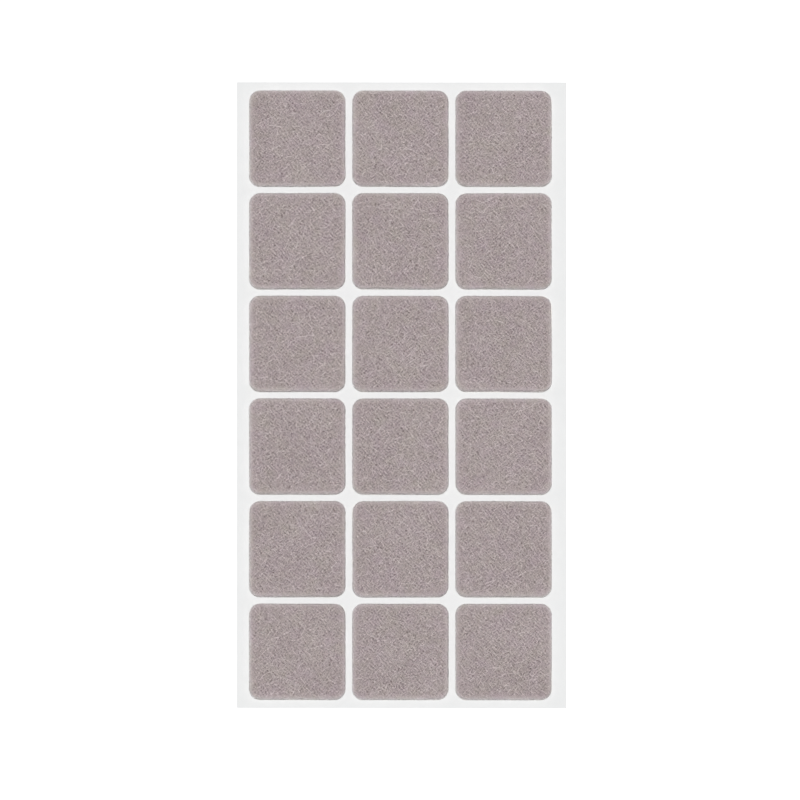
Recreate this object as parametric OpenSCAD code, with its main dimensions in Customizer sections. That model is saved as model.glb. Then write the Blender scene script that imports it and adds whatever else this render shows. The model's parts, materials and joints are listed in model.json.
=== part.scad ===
// Sheet of self-adhesive square felt furniture pads on a release liner.
// The origin is the centre of the liner's underside, X runs across the sheet,
// Y along it towards the first row, and Z up out of the pads.

/* [Pad] */
// Side of a square pad at its base
pad_w = 25; // [15:0.5:50]
// Thickness of the felt
felt_t = 3; // [1.5:0.1:8]
// Radius of a pad's corners in plan
corner_r = 2.8; // [2:0.1:6]
// How far each die-cut side leans inwards on its way up
side_lean = 0.15; // [0.1:0.05:0.5]
// Radius of the rolled edge round the top of the felt
edge_roll = 0.5; // [0.2:0.05:0.9]
// Thickness of the adhesive film under the felt
adhesive_t = 0.15; // [0.05:0.01:0.5]

/* [Layout] */
// Pads across the sheet
columns = 3; // [1:1:4]
// Pads along the sheet
rows = 6; // [1:1:7]
// Gap between neighbouring columns
column_gap = 1.8; // [0.8:0.05:5]
// Gap between neighbouring rows
row_gap = 1.7; // [0.8:0.05:5]

/* [Release liner] */
// Thickness of the liner
liner_t = 0.15; // [0.08:0.01:0.4]
// Bare liner left of the first column
margin_left = 3.2; // [1:0.1:10]
// Bare liner right of the last column
margin_right = 3.8; // [1:0.1:10]
// Bare liner above the first row
margin_top = 2.2; // [1:0.1:10]
// Bare liner below the last row
margin_bottom = 2.1; // [1:0.1:10]
// Width of the score that the die leaves round each pad
score_w = 0.16; // [0.06:0.01:0.3]
// Depth of that score
score_d = 0.04; // [0.02:0.01:0.06]

/* [Hidden] */
$fn = 96;
sheet_w = margin_left + columns * pad_w + (columns - 1) * column_gap + margin_right;
sheet_l = margin_top + rows * pad_w + (rows - 1) * row_gap + margin_bottom;
// Straight stretch of a pad's side between its corner axes
straight = pad_w - 2 * corner_r;
felt_z = liner_t + adhesive_t;

function felt_name(row, col) = str("felt_pad_r", row, "c", col);
function adhesive_name(row, col) = str("adhesive_film_r", row, "c", col);

// Centre of a pad on the sheet, rows counted from the top and columns from the left
function pad_x(col) = -sheet_w / 2 + margin_left + pad_w / 2 + (col - 1) * (pad_w + column_gap);
function pad_y(row) = sheet_l / 2 - margin_top - pad_w / 2 - (row - 1) * (pad_w + row_gap);

// Carries an edge profile, drawn outwards from a corner's axis, along the sides and round the corners
module around_pad() {
    for (turn = [0:90:270])
        rotate(turn) {
            translate([straight / 2, 0, 0])
                rotate([90, 0, 0])
                    linear_extrude(straight, center = true) children();
            translate([straight / 2, straight / 2, 0])
                rotate_extrude(angle = 90) children();
        }
}

// A square block with round corners, whose sides have the given edge profile
module pad_block(height) {
    translate([0, 0, height / 2])
        cube([straight, straight, height], center = true);
    around_pad() children();
}

// Side of the felt: leaning cut wall with a rolled top edge
module felt_edge() {
    shoulder_x = corner_r - side_lean;
    shoulder_z = felt_t - edge_roll;
    polygon([[0, 0], [corner_r, 0], [shoulder_x, shoulder_z], [0, shoulder_z]]);
    translate([0, shoulder_z])
        square([shoulder_x - edge_roll, edge_roll]);
    translate([shoulder_x - edge_roll, shoulder_z])
        circle(edge_roll);
}

// V of the score, centred on the cut line, with as much again above the liner's face
module score_edge() {
    polygon([[corner_r, -score_d], [corner_r + score_w, score_d], [corner_r - score_w, score_d]]);
}

module at_pad(row, col, z) {
    translate([pad_x(col), pad_y(row), z]) children();
}

module release_liner() {
    color("#efefef")
        difference() {
            translate([0, 0, liner_t / 2])
                cube([sheet_w, sheet_l, liner_t], center = true);
            for (row = [1:rows], col = [1:columns])
                at_pad(row, col, liner_t) around_pad() score_edge();
        }
}

module adhesive_film(row, col) {
    color("#d9d4c8")
        at_pad(row, col, liner_t)
            pad_block(adhesive_t) square([corner_r, adhesive_t]);
}

module felt_pad(row, col) {
    color("#a69b9a")
        at_pad(row, col, felt_z)
            pad_block(felt_t) felt_edge();
}

release_liner();
for (row = [1:rows], col = [1:columns]) {
    felt_pad(row, col);
    adhesive_film(row, col);
}
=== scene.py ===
import json
from types import SimpleNamespace

import bpy
import numpy as np
from mathutils import Matrix, Vector


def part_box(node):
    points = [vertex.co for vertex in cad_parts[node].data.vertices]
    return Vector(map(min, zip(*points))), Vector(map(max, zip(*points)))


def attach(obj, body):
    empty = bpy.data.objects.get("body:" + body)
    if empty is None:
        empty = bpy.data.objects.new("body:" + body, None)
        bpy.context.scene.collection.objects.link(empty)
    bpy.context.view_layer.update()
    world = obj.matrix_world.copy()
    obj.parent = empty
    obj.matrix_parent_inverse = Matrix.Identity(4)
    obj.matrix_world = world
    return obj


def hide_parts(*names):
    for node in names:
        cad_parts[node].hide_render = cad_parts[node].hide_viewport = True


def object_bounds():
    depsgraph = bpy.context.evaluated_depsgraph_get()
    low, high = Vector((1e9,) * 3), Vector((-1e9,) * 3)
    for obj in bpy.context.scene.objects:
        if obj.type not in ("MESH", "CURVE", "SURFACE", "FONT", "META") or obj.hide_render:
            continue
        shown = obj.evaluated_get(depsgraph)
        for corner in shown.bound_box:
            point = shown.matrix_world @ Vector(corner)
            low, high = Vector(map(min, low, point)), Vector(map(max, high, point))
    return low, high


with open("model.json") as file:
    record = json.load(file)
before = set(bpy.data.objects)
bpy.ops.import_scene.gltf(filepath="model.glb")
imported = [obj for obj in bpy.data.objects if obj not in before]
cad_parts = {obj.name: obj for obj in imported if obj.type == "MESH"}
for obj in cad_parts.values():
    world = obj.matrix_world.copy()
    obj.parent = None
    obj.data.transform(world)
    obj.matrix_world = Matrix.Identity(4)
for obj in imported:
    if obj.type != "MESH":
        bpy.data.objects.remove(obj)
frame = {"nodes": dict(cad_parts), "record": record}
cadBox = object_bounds()
mm = 0.001
bodyOf = {node: body for body, nodes in frame["record"]["behaviour"]["bodies"].items() for node in nodes}
padNodes = sorted(node for node in frame["nodes"] if node.startswith("felt_pad_"))
filmNodes = sorted(node for node in frame["nodes"] if node.startswith("adhesive_film_"))
print("frame:", len(padNodes), "pads and", len(filmNodes), "films on the liner")


# Mesh helpers

def buildMesh(name, points, quads, tris, values, cornerUv):
    # faces are quads, then triangles; values hold one number a point, cornerUv one place a face corner
    mesh = bpy.data.meshes.new(name)
    corners = np.concatenate([quads.ravel(), tris.ravel()]).astype(np.int32)
    starts = np.concatenate([np.arange(len(quads)) * 4, len(quads) * 4 + np.arange(len(tris)) * 3])
    mesh.vertices.add(len(points))
    mesh.vertices.foreach_set("co", points.astype(np.float32).ravel())
    mesh.loops.add(len(corners))
    mesh.loops.foreach_set("vertex_index", corners)
    mesh.polygons.add(len(starts))
    mesh.polygons.foreach_set("loop_start", starts.astype(np.int32))
    mesh.polygons.foreach_set("use_smooth", np.ones(len(starts), bool))
    mesh.update(calc_edges=True)
    for key, value in values.items():
        mesh.attributes.new(key, "FLOAT", "POINT").data.foreach_set("value", value.astype(np.float32))
    layer = mesh.uv_layers.new(name="OFBake")
    layer.uv.foreach_set("vector", cornerUv.astype(np.float32).ravel())
    return mesh


def addPiece(mesh, material):
    piece = bpy.data.objects.new(mesh.name, mesh)
    bpy.context.scene.collection.objects.link(piece)
    mesh.materials.append(material)
    return piece


def dressNode(node, material):
    slots = frame["nodes"][node].data.materials
    slots.clear()
    slots.append(material)


def gridQuads(columns, rows, closed=False):
    # corner numbers of the cells of a grid, row by row; closed joins the last column to the first
    across = np.arange(columns if closed else columns - 1)
    i, j = np.meshgrid(across, np.arange(rows - 1))
    right = (i + 1) % columns
    low, high = j * columns, (j + 1) * columns
    return np.stack([low + i, low + right, high + right, high + i], -1).reshape(-1, 4)


# Node helpers

def newMaterial(name):
    material = bpy.data.materials.new(name)
    material.use_nodes = True
    tree = material.node_tree
    return material, tree, tree.nodes["Principled BSDF"]


def addNode(tree, kind, **settings):
    node = tree.nodes.new(kind)
    for key, value in settings.items():
        setattr(node, key, value)
    return node


def setInputs(tree, node, values):
    # by an input's name or number: a socket is linked, anything else becomes the input's own value
    for key, value in values.items():
        if isinstance(value, bpy.types.NodeSocket):
            tree.links.new(value, node.inputs[key])
        else:
            node.inputs[key].default_value = value
    return node


def addMath(tree, operation, *values, kind="ShaderNodeMath"):
    # numbers or sockets in, the result's socket out
    node = addNode(tree, kind, operation=operation)
    return setInputs(tree, node, dict(enumerate(values))).outputs[0]


def mixNumbers(tree, factor, first, second):
    node = addNode(tree, "ShaderNodeMix")
    return setInputs(tree, node, {0: factor, 2: first, 3: second}).outputs[0]


def mixColours(tree, factor, first, second, blend="MIX"):
    node = addNode(tree, "ShaderNodeMix", data_type="RGBA", blend_type=blend)
    return setInputs(tree, node, {0: factor, 6: first, 7: second}).outputs[2]


def readValue(tree, name):
    return addNode(tree, "ShaderNodeAttribute", attribute_name=name).outputs["Fac"]


def srgb(red, green, blue):
    # screen colour, 0 to 255, as linear light
    c = np.array([red, green, blue]) / 255
    linear = np.where(c <= 0.04045, c / 12.92, ((c + 0.055) / 1.055) ** 2.4)
    return (*(float(v) for v in linear), 1.0)


def fineGrainGroup():
    # grain of a given size on Object coordinates: a mask round 0.5 for colour, and a height for bump
    group = bpy.data.node_groups.new("fineGrain", "ShaderNodeTree")
    for name, default in (("Scale", 3000.0), ("Detail", 3.0), ("Contrast", 1.0)):
        socket = group.interface.new_socket(name, in_out="INPUT", socket_type="NodeSocketFloat")
        socket.default_value = default
    for name in ("Mask", "Height"):
        group.interface.new_socket(name, in_out="OUTPUT", socket_type="NodeSocketFloat")
    given = addNode(group, "NodeGroupInput").outputs
    place = addNode(group, "ShaderNodeTexCoord").outputs["Object"]
    noise = addNode(group, "ShaderNodeTexNoise")
    setInputs(group, noise, {
        "Vector": place,
        "Scale": given["Scale"],
        "Detail": given["Detail"],
        "Roughness": 0.6,
    })
    swing = addMath(group, "SUBTRACT", noise.outputs["Fac"], 0.5)
    setInputs(group, addNode(group, "NodeGroupOutput"), {
        "Mask": addMath(group, "MULTIPLY_ADD", swing, given["Contrast"], 0.5),
        "Height": noise.outputs["Fac"],
    })
    return group


fineGrain = fineGrainGroup()


def addGrain(tree, scale, detail, contrast):
    node = addNode(tree, "ShaderNodeGroup", node_tree=fineGrain)
    return setInputs(tree, node, {"Scale": scale, "Detail": detail, "Contrast": contrast})


def addBump(tree, height, depth, strength):
    node = addNode(tree, "ShaderNodeBump")
    setInputs(tree, node, {"Strength": strength, "Distance": depth, "Height": height})
    return node.outputs["Normal"]


# Felt: needle felt in mixed taupe fibres, with painted light that makes it paler and greyer where the edge
# rolls and is cut

feltLook = dict(
    # the darkest tone, which the mat's hollows reach as painted shade
    pitShade=srgb(96, 83, 83),
    body=srgb(195, 182, 182),
    strand=srgb(243, 232, 232),
    warm=(0.54, 0.50, 0.48, 1),     # tints, patches and clouds leave a colour alone where they are 0.5
    cool=(0.46, 0.50, 0.52, 1),
    tintShare=0.35,
    mauve=(0.52, 0.46, 0.56, 1),
    olive=(0.49, 0.54, 0.44, 1),
    patchGrain=(240.0, 2.0, 2.0),   # scale, detail and contrast
    patchShare=0.42,
    dull=(0.46, 0.46, 0.46, 1),
    bright=(0.54, 0.54, 0.54, 1),
    cloudGrain=(100.0, 1.0, 2.0),
    cloudShare=0.9,
    rimLightGain=(1.49, 1.60, 1.60, 1),  # painted light: the rolled edge and cut sides are paler and greyer, lifting them out of their shade
    speckGrain=(4000.0, 2.0, 1.6),
    speckDepth=0.65,                # how far the specks change a fibre's tone
    # ways that strokes lie: how fine they are there, and how far they change a fibre's tone
    strokes={135.0: (820.0, 0.46), 45.0: (1000.0, 0.43)},
    strokeWaves=1.6,                # waves across a stroke and its neighbours
    strokeOrder=0.75,               # how nearly the strokes of one kind lie the same way
    evenTone=0.44,                  # tone that fibres share along the edge
    roughness=0.95,
    specular=0.12,
    sheen=0.25,
    sheenRoughness=0.5,
    bump=(0.04 * mm, 0.6),          # depth and strength
)


def feltMaterial(look):
    material, tree, shader = newMaterial("needleFelt")

    # a fibre's tone, with painted shade in the mat's hollows, plus specks and strokes, which fades to one
    # tone along the edge
    speck = addGrain(tree, *look["speckGrain"])
    lower = addMath(tree, "SUBTRACT", readValue(tree, "fibre"), 0.5 * look["speckDepth"])
    tone = addMath(tree, "MULTIPLY_ADD", speck.outputs["Mask"], look["speckDepth"], lower)

    # strokes lie on x + z and y - z, so that they cross the cut sides too
    place = addNode(tree, "ShaderNodeTexCoord").outputs["Object"]
    slope = addMath(tree, "CROSS_PRODUCT", place, (-1, -1, 0), kind="ShaderNodeVectorMath")
    sheared = addMath(tree, "ADD", place, slope, kind="ShaderNodeVectorMath")
    for turn, (fineness, depth) in look["strokes"].items():
        stroke = addNode(tree, "ShaderNodeTexGabor", gabor_type="2D")
        setInputs(tree, stroke, {
            "Vector": sheared,
            "Scale": fineness,
            "Frequency": look["strokeWaves"],
            "Anisotropy": look["strokeOrder"],
            "Orientation": np.radians(turn + 90),
        })
        swing = addMath(tree, "SUBTRACT", stroke.outputs["Value"], 0.5)
        tone = addMath(tree, "MULTIPLY_ADD", swing, depth, tone)
    tone = mixNumbers(tree, readValue(tree, "even"), tone, look["evenTone"])

    # tone to colour, then each fibre's tint, wider patches and clouds, and the rim's painted light
    ramp = addNode(tree, "ShaderNodeValToRGB")
    ramp.color_ramp.elements[0].color = look["pitShade"]
    ramp.color_ramp.elements[1].color = look["strand"]
    ramp.color_ramp.elements.new(0.5).color = look["body"]
    tree.links.new(tone, ramp.inputs["Fac"])
    colour = ramp.outputs["Color"]
    patch = addGrain(tree, *look["patchGrain"]).outputs["Mask"]
    cloud = addGrain(tree, *look["cloudGrain"]).outputs["Mask"]
    for share, mask, first, second in (
        (look["tintShare"], readValue(tree, "tint"), look["cool"], look["warm"]),
        (look["patchShare"], patch, look["mauve"], look["olive"]),
        (look["cloudShare"], cloud, look["dull"], look["bright"]),
    ):
        colour = mixColours(tree, share, colour, mixColours(tree, mask, first, second), "SOFT_LIGHT")
    # the rim attribute carries painted light, which makes the rolled edge and cut sides paler
    setInputs(tree, shader, {
        "Base Color": mixColours(tree, readValue(tree, "rim"), colour, look["rimLightGain"], "MULTIPLY"),
        "Roughness": look["roughness"],
        "Specular IOR Level": look["specular"],
        "Sheen Weight": look["sheen"],
        "Sheen Roughness": look["sheenRoughness"],
        "Normal": addBump(tree, speck.outputs["Height"], *look["bump"]),
    })
    return material


# Felt pads: a matted slab with a rolled edge and cut sides, under a layer of separate strands

padShape = dict(
    seed=100,                # of the first pad
    cells=68,                # across the top
    cornerRadius=2.8 * mm,
    sideLean=0.15 * mm,
    edgeRoll=0.5 * mm,
    rollSteps=5,
    wallSteps=9,
    ringPull=2.5,            # how fast inner rings lose their round corners
    matDepth=0.05 * mm,      # how far the mat lies under the pad's own surface, which the strands make up
    relief=0.03 * mm,        # unevenness of the mat
    spare=1 * mm,            # how far the strewn mat reaches past the pad
    wobble=0.04 * mm,        # unevenness of the cut outline
    depthShade=(0.30, 0.36),  # mid tone of the mat, darker than the strands as painted shade between them, and how far painted shade darkens a hollow and painted light brightens a hump
    strandsEnd=0.85,         # share of the roll's width that the strands of the top reach over
    rimLightOnTop=0.26,           # painted highlight where the edge starts to roll
    rimLightFade=0.25 * mm,       # how far the painted highlight reaches over the top
    even=0.62,               # how far the tones even out on the rolled edge
    evenFade=0.5 * mm,       # how far that reaches over the top and down the wall
)
topMat = dict(
    cell=0.1 * mm,
    radius=(0.08 * mm, 0.13 * mm),
    length=(0.5 * mm, 1.5 * mm),
    cover=4.0,               # strands that lie over a place
    bow=0.16,
    wander=None,             # every direction alike
    dotStep=0.8,             # cells from one dot of a strand to the next
    endSink=0.25,            # how far a strand's ends sink, where the whole mat is 1 deep
    crown=0.3,               # how far its middle line stands over its sides
    bare=-0.3,               # level where no strand lies
    evenOver=1.6 * mm,       # hollows and humps wider than this are levelled
)
sideMat = dict(
    topMat,
    radius=(0.07 * mm, 0.11 * mm),
    length=(0.6 * mm, 2.0 * mm),
    bow=0.12,
    wander=0.4,              # strands lie mostly along the cut
    evenOver=3.0 * mm,
)
fineStrands = dict(
    across=62,               # strands in a row across the top, and rows of them
    rings=4,
    length=(0.7 * mm, 2.6 * mm),
    radius=(0.04 * mm, 0.07 * mm),
    bow=0.04,
    sway=0.02,
    grain=135.0,             # the way more strands lie than any other, and how many more
    grainShare=0.2,
    crossShare=0.25,         # how many more lie that way or square to it than between
    lift=(-0.05 * mm, 0.05 * mm),
    dive=0.12 * mm,          # how far the ends sink into the mat
    tone=(0.59, 0.14),       # mean and deviation
)
boldStrands = dict(
    fineStrands,
    across=18,
    rings=5,
    length=(1.2 * mm, 3.2 * mm),
    radius=(0.055 * mm, 0.08 * mm),
    bow=0.03,
    lift=(0.0, 0.06 * mm),
    tone=(0.83, 0.12),
)
longStrands = dict(
    fineStrands,
    across=11,
    rings=8,
    length=(2.2 * mm, 6.0 * mm),
    bow=0.1,
    lift=(0.01 * mm, 0.08 * mm),
    tone=(0.80, 0.12),
)
cutStrands = dict(
    fineStrands,
    count=2100,
    length=(0.6 * mm, 2.6 * mm),
    wander=0.45,             # they lie mostly along the cut
    start=0.2 * mm,          # how far down the roll they start
    lift=(-0.07 * mm, 0.0),
    reach=(0.0, 0.0),        # how far a free end stands out of the side
    tone=(0.70, 0.15),
)
looseEnds = dict(
    cutStrands,
    count=80,
    rings=5,
    reach=(0.04 * mm, 0.2 * mm),
)
bakeMap = dict(
    blockHalf=1 / 2.2,           # half the width of the unrolled block
    blockCentre=(0.5, 0.54),
    underSize=0.03,              # the underside is a small copy in a corner
    underCentre=0.965,
    stripCorner=(0.02, 0.003),   # below the block each kind of strand has a strip
    stripSize=(0.94, 0.011),
    stripStep=0.0155,
    sideStep=0.004,              # from one side of a strand to the next
)


def runningMean(field, cells):
    # mean of a field over a square of about so many cells round each cell
    half = int(cells / 2)
    share = np.full(2 * half + 1, 1 / (2 * half + 1))
    mean = np.pad(field, half, mode="edge")
    for axis in (0, 1):
        mean = np.apply_along_axis(np.convolve, axis, mean, share, "valid")
    return mean


def turned(along, across, angle):
    # a place given along and across a line that lies at an angle
    cos, sin = np.cos(angle), np.sin(angle)
    return along * cos - across * sin, along * sin + across * cos


def strewFibres(look, width, height, wraps, rng):
    # each strand is a shallow arc of dots; the highest dot over a cell gives that cell its lift and tint
    cell = look["cell"]
    columns, rows = int(round(width / cell)), int(np.ceil(height / cell)) + 1
    count = int(look["cover"] * width * height / (np.mean(look["length"]) * 2 * np.mean(look["radius"])))
    length = rng.uniform(*look["length"], (count, 1))
    radius = rng.uniform(*look["radius"], (count, 1))
    bow = rng.normal(0, look["bow"], (count, 1)) * length
    if look["wander"] is None:
        angle = rng.uniform(0, np.pi, (count, 1))
    else:
        angle = rng.normal(0, look["wander"], (count, 1))
    level, tint = rng.uniform(0, 1, (count, 1)), rng.uniform(0, 1, (count, 1))
    t = np.linspace(-1, 1, int(look["length"][1] / cell / look["dotStep"]))[None, :]
    dx, dy = turned(0.5 * length * t, bow * (1 - t * t), angle)
    x = rng.uniform(0, width, (count, 1)) + dx
    y = rng.uniform(0, height, (count, 1)) + dy
    rise = level - look["endSink"] * t * t

    # a dot covers every cell whose centre is nearer than the strand's radius
    reach = int(np.ceil(look["radius"][1] / cell))
    owner = np.broadcast_to(np.arange(count)[:, None], x.shape)
    places, lifts, owners = [], [], []
    for right in range(-reach, reach + 1):
        for up in range(-reach, reach + 1):
            i, j = np.floor(x / cell).astype(int) + right, np.floor(y / cell).astype(int) + up
            near = 1 - (((i + 0.5) * cell - x) ** 2 + ((j + 0.5) * cell - y) ** 2) / radius ** 2
            if wraps:
                i = i % columns
            keep = (near > 0) & (i >= 0) & (i < columns) & (j >= 0) & (j < rows)
            places.append((j * columns + i)[keep])
            lifts.append((rise + look["crown"] * np.sqrt(np.maximum(near, 0)))[keep])
            owners.append(owner[keep])
    places, lifts, owners = np.concatenate(places), np.concatenate(lifts), np.concatenate(owners)
    order = np.argsort(lifts, kind="stable")
    top = np.full(columns * rows, -1)
    lift = np.full(columns * rows, look["bare"])
    top[places[order]] = owners[order]
    lift[places[order]] = lifts[order]
    lift = (lift - np.median(lift)).reshape(rows, columns)
    tint = np.where(top >= 0, tint[top, 0], 0.5)
    return lift - runningMean(lift, look["evenOver"] / cell), tint.reshape(rows, columns)


def readField(field, x, y, cell, wraps):
    # the field between its four nearest cell centres
    rows, columns = field.shape
    i, j = x / cell - 0.5, y / cell - 0.5
    left, low = np.floor(i).astype(int), np.floor(j).astype(int)
    fx, fy = i - left, j - low
    right, high = left + 1, (low + 1).clip(0, rows - 1)
    low = low.clip(0, rows - 1)
    if wraps:
        left, right = left % columns, right % columns
    else:
        left, right = left.clip(0, columns - 1), right.clip(0, columns - 1)
    lower = field[low, left] * (1 - fx) + field[low, right] * fx
    upper = field[high, left] * (1 - fx) + field[high, right] * fx
    return lower * (1 - fy) + upper * fy


def roundedGrid(cells, half, radius, pull):
    # nested squares of half-width k * half, whose corners have radius k ** pull * radius;
    # a grid point keeps its share of the way along its side, corner arc included
    u, v = np.meshgrid(np.linspace(-1, 1, cells + 1), np.linspace(-1, 1, cells + 1))
    k = np.maximum(np.abs(u), np.abs(v))
    share = np.minimum(np.abs(u), np.abs(v)) / np.maximum(k, 1e-9)
    side, bend = k * half, np.maximum(radius * k ** pull, 1e-9)
    reach = share * (side - bend + bend * np.pi / 4)
    turn = np.maximum(reach - (side - bend), 0) / bend
    far = side - bend + bend * np.cos(turn)
    near = np.where(turn > 0, side - bend + bend * np.sin(turn), reach)
    wide = np.abs(u) >= np.abs(v)
    x = np.where(wide, far, near) * np.sign(u)
    y = np.where(wide, near, far) * np.sign(v)
    return x.ravel(), y.ravel()


def gridRim(cells):
    # point numbers round a square grid, counter-clockwise from its first corner
    n, step = cells + 1, np.arange(cells)
    return np.concatenate([step, cells + step * n, n * n - 1 - step, (cells - step) * n])


def outlineDistance(x, y, half, radius):
    # how far a place lies outside a rounded square, less than 0 inside
    dx, dy = np.abs(x) - (half - radius), np.abs(y) - (half - radius)
    return np.hypot(np.maximum(dx, 0), np.maximum(dy, 0)) + np.minimum(np.maximum(dx, dy), 0) - radius


def padForm(node, shape, rng):
    # a pad's places: the flat top's grid, its rim with the way out, and the edge's profile down from it
    low, high = (np.array(corner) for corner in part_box(node))
    roll, lean, cells = shape["edgeRoll"], shape["sideLean"], shape["cells"]
    pad = SimpleNamespace(centre=(low + high) / 2, base=low[2])
    pad.width, pad.height = high[0] - low[0], high[2] - low[2]
    pad.topHalf = pad.width / 2 - lean - roll
    pad.topRadius = shape["cornerRadius"] - lean - roll
    pad.x, pad.y = roundedGrid(cells, pad.topHalf, pad.topRadius, shape["ringPull"])
    pad.rim = gridRim(cells)
    pad.rimX, pad.rimY = pad.x[pad.rim], pad.y[pad.rim]

    # square to the outline, from each rim point's two neighbours
    outX = np.roll(pad.rimY, -1) - np.roll(pad.rimY, 1)
    outY = np.roll(pad.rimX, 1) - np.roll(pad.rimX, -1)
    size = np.hypot(outX, outY)
    pad.outX, pad.outY = outX / size, outY / size
    steps = np.hypot(np.diff(pad.rimX, append=pad.rimX[0]), np.diff(pad.rimY, append=pad.rimY[0]))
    pad.walked, pad.loop = np.cumsum(steps) - steps, steps.sum()

    # a quarter circle, then the leaning wall: offset from the flat top, height, and the normal's two shares
    turn = np.linspace(0, np.pi / 2, shape["rollSteps"] + 1)[1:]
    fall = np.linspace(0, 1, shape["wallSteps"] + 1)[1:]
    pad.offset = np.concatenate([roll * np.sin(turn), roll + lean * fall])
    pad.level = np.concatenate([pad.height - roll + roll * np.cos(turn), (pad.height - roll) * (1 - fall)])
    pad.outward = np.concatenate([np.sin(turn), np.ones(len(fall))])
    pad.upward = np.concatenate([np.cos(turn), np.full(len(fall), lean / (pad.height - roll))])
    pad.fallen = np.cumsum(np.hypot(np.diff(pad.offset, prepend=0), np.diff(pad.level, prepend=pad.height)))

    # the cut's wander: sines that go 2 to 8 times round, the faster the weaker
    pad.wave = shape["wobble"] * sum(
        rng.normal(0, 1) / k * np.sin(2 * np.pi * (k * pad.walked / pad.loop + rng.uniform()))
        for k in range(2, 9)
    )
    return pad


def feltSlab(pad, shape, rng):
    # the matted block: points, quads, triangles, tone, tint and the block unrolled flat
    half, cell = pad.width / 2 + shape["spare"], topMat["cell"]
    top = strewFibres(topMat, 2 * half, 2 * half, False, rng)
    side = strewFibres(sideMat, pad.loop, pad.fallen[-1] + shape["spare"], True, rng)
    ringX = pad.rimX + pad.offset[:, None] * pad.outX
    ringY = pad.rimY + pad.offset[:, None] * pad.outY
    walked = np.broadcast_to(pad.walked, ringX.shape)
    fallen = np.broadcast_to(pad.fallen[:, None], ringX.shape)
    topLift, topTint = (readField(f, pad.x + half, pad.y + half, cell, False) for f in top)
    overLift, overTint = (readField(f, ringX + half, ringY + half, cell, False) for f in top)
    sideLift, sideTint = (readField(f, walked, fallen, sideMat["cell"], True) for f in side)
    blend = (pad.outward ** 2)[:, None]  # 0 where the roll leaves the top, 1 on the wall
    sideLift = sideLift * blend + overLift * (1 - blend)
    sideTint = sideTint * blend + overTint * (1 - blend)

    # each point moves by its lift along its own way out, and the cut wanders a little
    push = shape["relief"] * sideLift - shape["matDepth"]
    away = push * pad.outward[:, None] + pad.wave
    topPoints = np.stack([pad.x, pad.y, pad.height + shape["relief"] * topLift - shape["matDepth"]], 1)
    sidePoints = np.stack([
        ringX + away * pad.outX,
        ringY + away * pad.outY,
        (pad.level[:, None] + push * pad.upward[:, None]).clip(0),
    ], -1).reshape(-1, 3)
    points = np.concatenate([topPoints, sidePoints, [[0, 0, 0]]])

    # the top's cells, a band round the sides and a fan below
    count = len(pad.rim)
    belt = np.concatenate([pad.rim, len(topPoints) + np.arange(len(sidePoints))])
    cells = gridQuads(shape["cells"] + 1, shape["cells"] + 1)
    band = belt[gridQuads(count, len(pad.offset) + 1, True)][:, ::-1]
    last = belt[-count:]
    fan = np.stack([np.roll(last, -1), last, np.full(count, len(points) - 1)], 1)

    # painted shade and light: the mat's tone falls in its hollows and rises on its humps
    middle, swing = shape["depthShade"]
    tone = middle + swing * np.concatenate([topLift, sideLift.ravel(), [0]])
    tint = np.concatenate([topTint, sideTint.ravel(), [0.5]])
    outer = np.stack([pad.rimX + fallen * pad.outX, pad.rimY + fallen * pad.outY], -1).reshape(-1, 2)
    unrolled = np.concatenate([np.stack([pad.x, pad.y], 1), outer, [[0, 0]]])
    return points, np.concatenate([cells, band]), fan, tone, tint, unrolled


def bentStrands(look, share, angle, rng):
    # lines, more of them short than long, each bent by a bow and a lesser sway; at(t) has t from -1 to 1
    least, most = look["length"]
    size = least + (most - least) * share ** 2
    bow = rng.normal(0, look["bow"], share.shape)
    sway = rng.normal(0, look["sway"], share.shape)

    def at(t):
        return turned(0.5 * size * t, size * (bow * (1 - t * t) + sway * np.sin(np.pi * t)), angle)

    return at


def evenDraws(across, rng, block=2):
    # numbers from 0 to 1 for a square of cells: each small block shares out equal steps in a mixed order
    blocks = -(-across // block)
    steps = rng.permuted(np.tile(np.arange(block ** 2), (blocks ** 2, 1)), axis=1)
    cells = steps.reshape(blocks, blocks, block, block).swapaxes(1, 2).reshape(blocks * block, -1)
    return ((cells[:across, :across] + rng.uniform(0, 1, (across, across))) / block ** 2).reshape(-1, 1)


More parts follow.
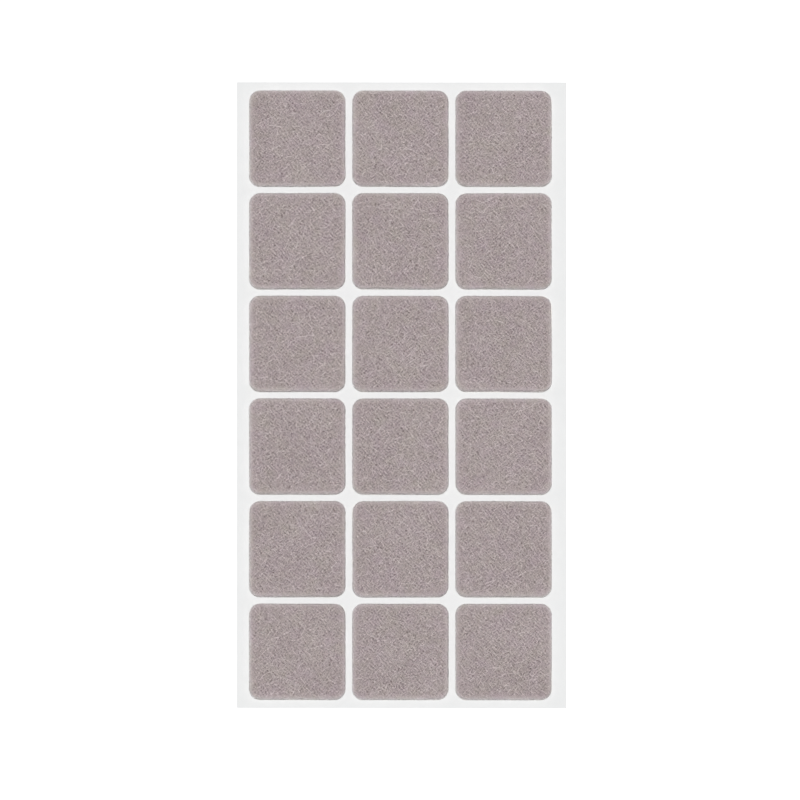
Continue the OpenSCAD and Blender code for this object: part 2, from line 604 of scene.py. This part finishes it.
def topStrands(pad, shape, look, rng):
    # one strand to each cell of a lattice, its turn, length, lift and tone spread evenly over the cells
    roll, across, reach = shape["edgeRoll"], look["across"], pad.topHalf + shape["edgeRoll"]
    n = across ** 2
    column, row = np.arange(n)[:, None] % across, np.arange(n)[:, None] // across
    x = ((column + rng.uniform(0, 1, (n, 1))) / across * 2 - 1) * reach
    y = ((row + rng.uniform(0, 1, (n, 1))) / across * 2 - 1) * reach
    angle = np.pi * evenDraws(across, rng)
    off = angle - np.radians(look["grain"])
    angle -= look["grainShare"] * np.sin(2 * off) + look["crossShare"] * np.sin(4 * off)
    at = bentStrands(look, evenDraws(across, rng), angle, rng)
    lowest, highest = look["lift"]
    lift = lowest + (highest - lowest) * evenDraws(across, rng)
    # numbers spread evenly from 0 to 1 deviate by 1 / sqrt(12)
    middle, deviation = look["tone"]
    tone = middle + deviation * np.sqrt(12) * (evenDraws(across, rng) - 0.5)

    # followed both ways from the middle, and cut off where they would pass the outer part of the roll
    half = 12  # steps to each end
    dx, dy = at(np.linspace(-1, 1, 2 * half + 1))
    end = shape["strandsEnd"] * roll
    inside = outlineDistance(x + dx, y + dy, pad.topHalf, pad.topRadius) < end
    ahead = np.cumprod(inside[:, half:], 1).sum(1, keepdims=True) - 1
    behind = np.cumprod(inside[:, half::-1], 1).sum(1, keepdims=True) - 1
    t = (-behind + (ahead + behind) * np.linspace(0, 1, look["rings"])) / half
    dx, dy = at(t)
    x, y = x + dx, y + dy
    over = outlineDistance(x, y, pad.topHalf, pad.topRadius).clip(0, roll)
    z = pad.height - roll + np.sqrt(roll ** 2 - over ** 2)
    z += lift - look["dive"] * t ** 4
    kept = (ahead + behind)[:, 0] > half / 3  # short stumps are left out
    return np.stack([x, y, z], -1)[kept], tone[kept, 0]


def sideStrands(pad, look, rng):
    # strands along the wall by their way round and down it, each with one end that may stand out
    n, t = look["count"], np.linspace(-1, 1, look["rings"])
    share, angle = rng.uniform(0, 1, (n, 1)), rng.normal(0, look["wander"], (n, 1))
    around, down = bentStrands(look, share, angle, rng)(t)
    walk = (rng.uniform(0, pad.loop, (n, 1)) + around) % pad.loop
    highest, lowest = look["start"], pad.fallen[-1] - look["radius"][1]
    fall = (rng.uniform(highest, lowest, (n, 1)) + down).clip(highest, lowest)
    stand = rng.uniform(*look["lift"], (n, 1)) - look["dive"] * t ** 4
    stand += rng.uniform(*look["reach"], (n, 1)) * ((t + 1) / 2) ** 2
    walked = np.append(pad.walked, pad.loop)
    x, y, outX, outY, wave = (
        np.interp(walk, walked, np.append(values, values[0]))
        for values in (pad.rimX, pad.rimY, pad.outX, pad.outY, pad.wave)
    )
    away = np.interp(fall, pad.fallen, pad.offset) + stand + wave
    paths = np.stack([x + away * outX, y + away * outY, np.interp(fall, pad.fallen, pad.level)], -1)
    return paths, rng.normal(*look["tone"], n)


def tubes(paths, radius):
    # three-sided tubes along paths, closed to a point at both ends: points by strand, quads, triangles
    count, rings = paths.shape[:2]
    aside = [0.31, 0.17, 0.93]  # a steep way that strands hardly ever run
    ahead = np.gradient(paths, axis=1)
    ahead /= np.linalg.norm(ahead, axis=2, keepdims=True) + 1e-12
    across = np.cross(ahead, aside)
    across /= np.linalg.norm(across, axis=2, keepdims=True) + 1e-12
    upright = np.cross(across, ahead)
    turn = np.arange(3) * 2 * np.pi / 3
    ring = across[:, 1:-1, None] * np.cos(turn)[:, None] + upright[:, 1:-1, None] * np.sin(turn)[:, None]
    body = paths[:, 1:-1, None] + ring * radius[:, None, None, None]
    points = np.concatenate([body.reshape(count, -1, 3), paths[:, :1], paths[:, -1:]], 1)
    quads = gridQuads(3, rings - 2, True)[:, ::-1]
    side = np.arange(3)
    after = (side + 1) % 3
    end, tips = 3 * (rings - 3), 3 * (rings - 2)
    tris = np.concatenate([
        np.stack([side, after, np.full(3, tips)], 1),
        np.stack([end + after, end + side, np.full(3, tips + 1)], 1),
    ])
    shift = np.arange(count)[:, None, None] * points.shape[1]
    return points, (quads + shift).reshape(-1, 4), (tris + shift).reshape(-1, 3)


def paintedRimLight(pad, shape, points):
    # painted light: grows towards the edge of the top, then down the roll to the whole share on the wall
    over = outlineDistance(points[:, 0], points[:, 1], pad.topHalf, pad.topRadius)
    onTop = shape["rimLightOnTop"] * np.exp(over.clip(None, 0) / shape["rimLightFade"])
    down = (over / shape["edgeRoll"]).clip(0, 1) ** 3
    return onTop + (1 - shape["rimLightOnTop"]) * down


def edgeEvenness(pad, shape, points):
    # highest on the rolled edge, falling off over the top and down the wall
    over = outlineDistance(points[:, 0], points[:, 1], pad.topHalf, pad.topRadius)
    below = pad.height - shape["edgeRoll"] - points[:, 2]
    return shape["even"] * np.exp((over.clip(None, 0) - below.clip(0)) / shape["evenFade"])


def strandPlaces(look, row, tone, each):
    # one kind's strip of the bake map, where its strands lie side by side from dark to light
    left, low = look["stripCorner"]
    width, height = look["stripSize"]
    part = np.arange(each)
    across = left + look["sideStep"] * (part % 3)
    up = low + look["stripStep"] * row + height * (part // 3) / (each // 3)
    places = np.tile(np.stack([across, up], 1), (len(tone), 1))
    places[:, 0] += np.repeat(width * tone.argsort().argsort() / len(tone), each)
    return places


def feltPad(node, shape, material, seed):
    rng = np.random.default_rng(seed)
    pad = padForm(node, shape, rng)

    # the block first, unrolled flat on the bake map, then each kind of strand
    slab, slabQuads, slabTris, slabShadedTone, slabTint, unrolled = feltSlab(pad, shape, rng)
    flat = unrolled / np.abs(unrolled).max() * bakeMap["blockHalf"] + bakeMap["blockCentre"]
    under = (flat - 0.5) * bakeMap["underSize"] + bakeMap["underCentre"]
    points, quads, tris = [slab], [slabQuads], [slabTris]
    tones, tints = [slabShadedTone], [slabTint]
    quadUv, trisUv = [flat[slabQuads.ravel()]], [under[slabTris.ravel()]]
    kinds = [(look, topStrands(pad, shape, look, rng)) for look in (fineStrands, boldStrands, longStrands)]
    kinds += [(look, sideStrands(pad, look, rng)) for look in (cutStrands, looseEnds)]
    for row, (look, (paths, tone)) in enumerate(kinds):
        strands, strandQuads, strandTris = tubes(paths, rng.uniform(*look["radius"], len(paths)))
        count, each = strands.shape[:2]
        first = sum(len(group) for group in points)
        points.append(strands.reshape(-1, 3))
        quads.append(strandQuads + first)
        tris.append(strandTris + first)
        tones.append(np.repeat(tone, each))
        tints.append(np.repeat(rng.uniform(0, 1, count), each))
        places = strandPlaces(bakeMap, row, tone, each)
        quadUv.append(places[strandQuads.ravel()])
        trisUv.append(places[strandTris.ravel()])

    points = np.concatenate(points)
    values = dict(
        fibre=np.concatenate(tones).clip(0, 1),
        tint=np.concatenate(tints),
        # rim: painted light on the rolled edge and cut sides
        rim=paintedRimLight(pad, shape, points),
        even=edgeEvenness(pad, shape, points),
    )
    points += [*pad.centre[:2], pad.base]
    quads, tris, cornerUv = (np.concatenate(parts) for parts in (quads, tris, quadUv + trisUv))
    mesh = buildMesh(node.replace("felt_pad", "felt"), points, quads, tris, values, cornerUv)
    piece = addPiece(mesh, material)
    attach(piece, bodyOf[node])
    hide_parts(node)


felt = feltMaterial(feltLook)
for number, node in enumerate(padNodes):
    feltPad(node, padShape, felt, padShape["seed"] + number)
print("felt pads:", len(padNodes))


# Adhesive film: milky pressure-sensitive film with a faint orange peel

filmLook = dict(
    colour=srgb(214, 208, 196),
    shade=srgb(196, 188, 175),
    grain=(900.0, 3.0, 1.6),    # scale, detail and contrast
    roughness=0.28,
    specular=0.5,
    bump=(0.03 * mm, 0.5),      # depth and strength
)


def grainedMaterial(name, look):
    # two near colours mixed by a grain, which is also the bump
    material, tree, shader = newMaterial(name)
    grain = addGrain(tree, *look["grain"])
    setInputs(tree, shader, {
        "Base Color": mixColours(tree, grain.outputs["Mask"], look["shade"], look["colour"]),
        "Roughness": look["roughness"],
        "Specular IOR Level": look["specular"],
        "Normal": addBump(tree, grain.outputs["Height"], *look["bump"]),
    })
    return material


film = grainedMaterial("adhesiveFilm", filmLook)
for node in filmNodes:
    dressNode(node, film)
print("adhesive films:", len(filmNodes))


# Release liner: white paper with a smooth silicone face

linerLook = dict(
    colour=srgb(234, 235, 235),
    shade=srgb(230, 231, 231),
    grain=(260.0, 5.0, 1.5),
    roughness=0.5,
    specular=0.3,
    bump=(0.01 * mm, 0.3),
)
dressNode("release_liner", grainedMaterial("siliconePaper", linerLook))
print("release liner dressed")


# Studio: white floor, soft light from straight above and a weak light from all round

studio = dict(
    floorSize=3.0,
    floorDrop=0.05 * mm,
    floorColour=(0.8, 0.8, 0.8, 1),
    floorGlow=0.36,
    skyLight=0.17,
    keyStrength=2.42,
    keyAngle=9.0,
)


def seenRays(tree):
    # 1 for rays from the camera, a gloss or a clear surface, which see the white ground
    rays = addNode(tree, "ShaderNodeLightPath").outputs
    seen = addMath(tree, "MAXIMUM", rays["Is Camera Ray"], rays["Is Glossy Ray"])
    return addMath(tree, "MAXIMUM", seen, rays["Is Transmission Ray"])


def makeFloor(look):
    half, z = look["floorSize"] / 2, cadBox[0].z - look["floorDrop"]
    corners = [(-half, -half, z), (half, -half, z), (half, half, z), (-half, half, z)]
    mesh = bpy.data.meshes.new("floor")
    mesh.from_pydata(corners, [], [(0, 1, 2, 3)])
    material, tree, shader = newMaterial("whiteFloor")
    setInputs(tree, shader, {
        "Base Color": look["floorColour"],
        "Roughness": 1.0,
        "Specular IOR Level": 0.0,
        "Emission Color": (1, 1, 1, 1),
        "Emission Strength": addMath(tree, "MULTIPLY", seenRays(tree), look["floorGlow"]),
    })
    addPiece(mesh, material)


def makeWorld(look):
    world = bpy.data.worlds.new("studio")
    bpy.context.scene.world = world
    world.use_nodes = True
    tree = world.node_tree
    level = addNode(tree, "ShaderNodeMapRange")
    setInputs(tree, level, {"Value": seenRays(tree), "To Min": look["skyLight"], "To Max": 1.0})
    ground = tree.nodes["Background"]
    setInputs(tree, ground, {"Color": (1, 1, 1, 1), "Strength": level.outputs["Result"]})


def makeLight(look):
    lamp = bpy.data.lights.new("key", "SUN")
    lamp.energy = look["keyStrength"]
    lamp.angle = np.radians(look["keyAngle"])
    key = bpy.data.objects.new("key", lamp)
    bpy.context.scene.collection.objects.link(key)


makeFloor(studio)
makeWorld(studio)
makeLight(studio)


# Camera: parallel view from above, leaning a little towards the sheet's left and near sides

view = dict(
    imagePixels=800,
    sheetPixels=329.5,             # width of the sheet in the photograph
    sheetCentre=(401.55, 395.2),   # its centre there
    leanLeft=1.0,
    leanNear=3.0,
    distance=0.6,
    nearest=0.01,
)


def makeCamera(look):
    pixel = (cadBox[1].x - cadBox[0].x) / look["sheetPixels"]
    left, near = np.tan(np.radians([look["leanLeft"], look["leanNear"]]))
    back = Vector((-left, -near, 1)).normalized()
    right = Vector((0, 1, 0)).cross(back).normalized()
    up = back.cross(right)
    middle = look["imagePixels"] / 2
    column, row = look["sheetCentre"]
    aim = (cadBox[0] + cadBox[1]) / 2
    aim.z = cadBox[0].z
    aim += right * (middle - column) * pixel + up * (row - middle) * pixel
    lens = bpy.data.cameras.new("camera")
    lens.type = "ORTHO"
    lens.ortho_scale = look["imagePixels"] * pixel
    lens.clip_start = look["nearest"]
    camera = bpy.data.objects.new("camera", lens)
    camera.matrix_world = Matrix((right, up, back)).transposed().to_4x4()
    camera.location = aim + back * look["distance"]
    bpy.context.scene.collection.objects.link(camera)
    bpy.context.scene.camera = camera


makeCamera(view)
bpy.context.scene.view_settings.view_transform = "Standard"
print("studio and camera ready")
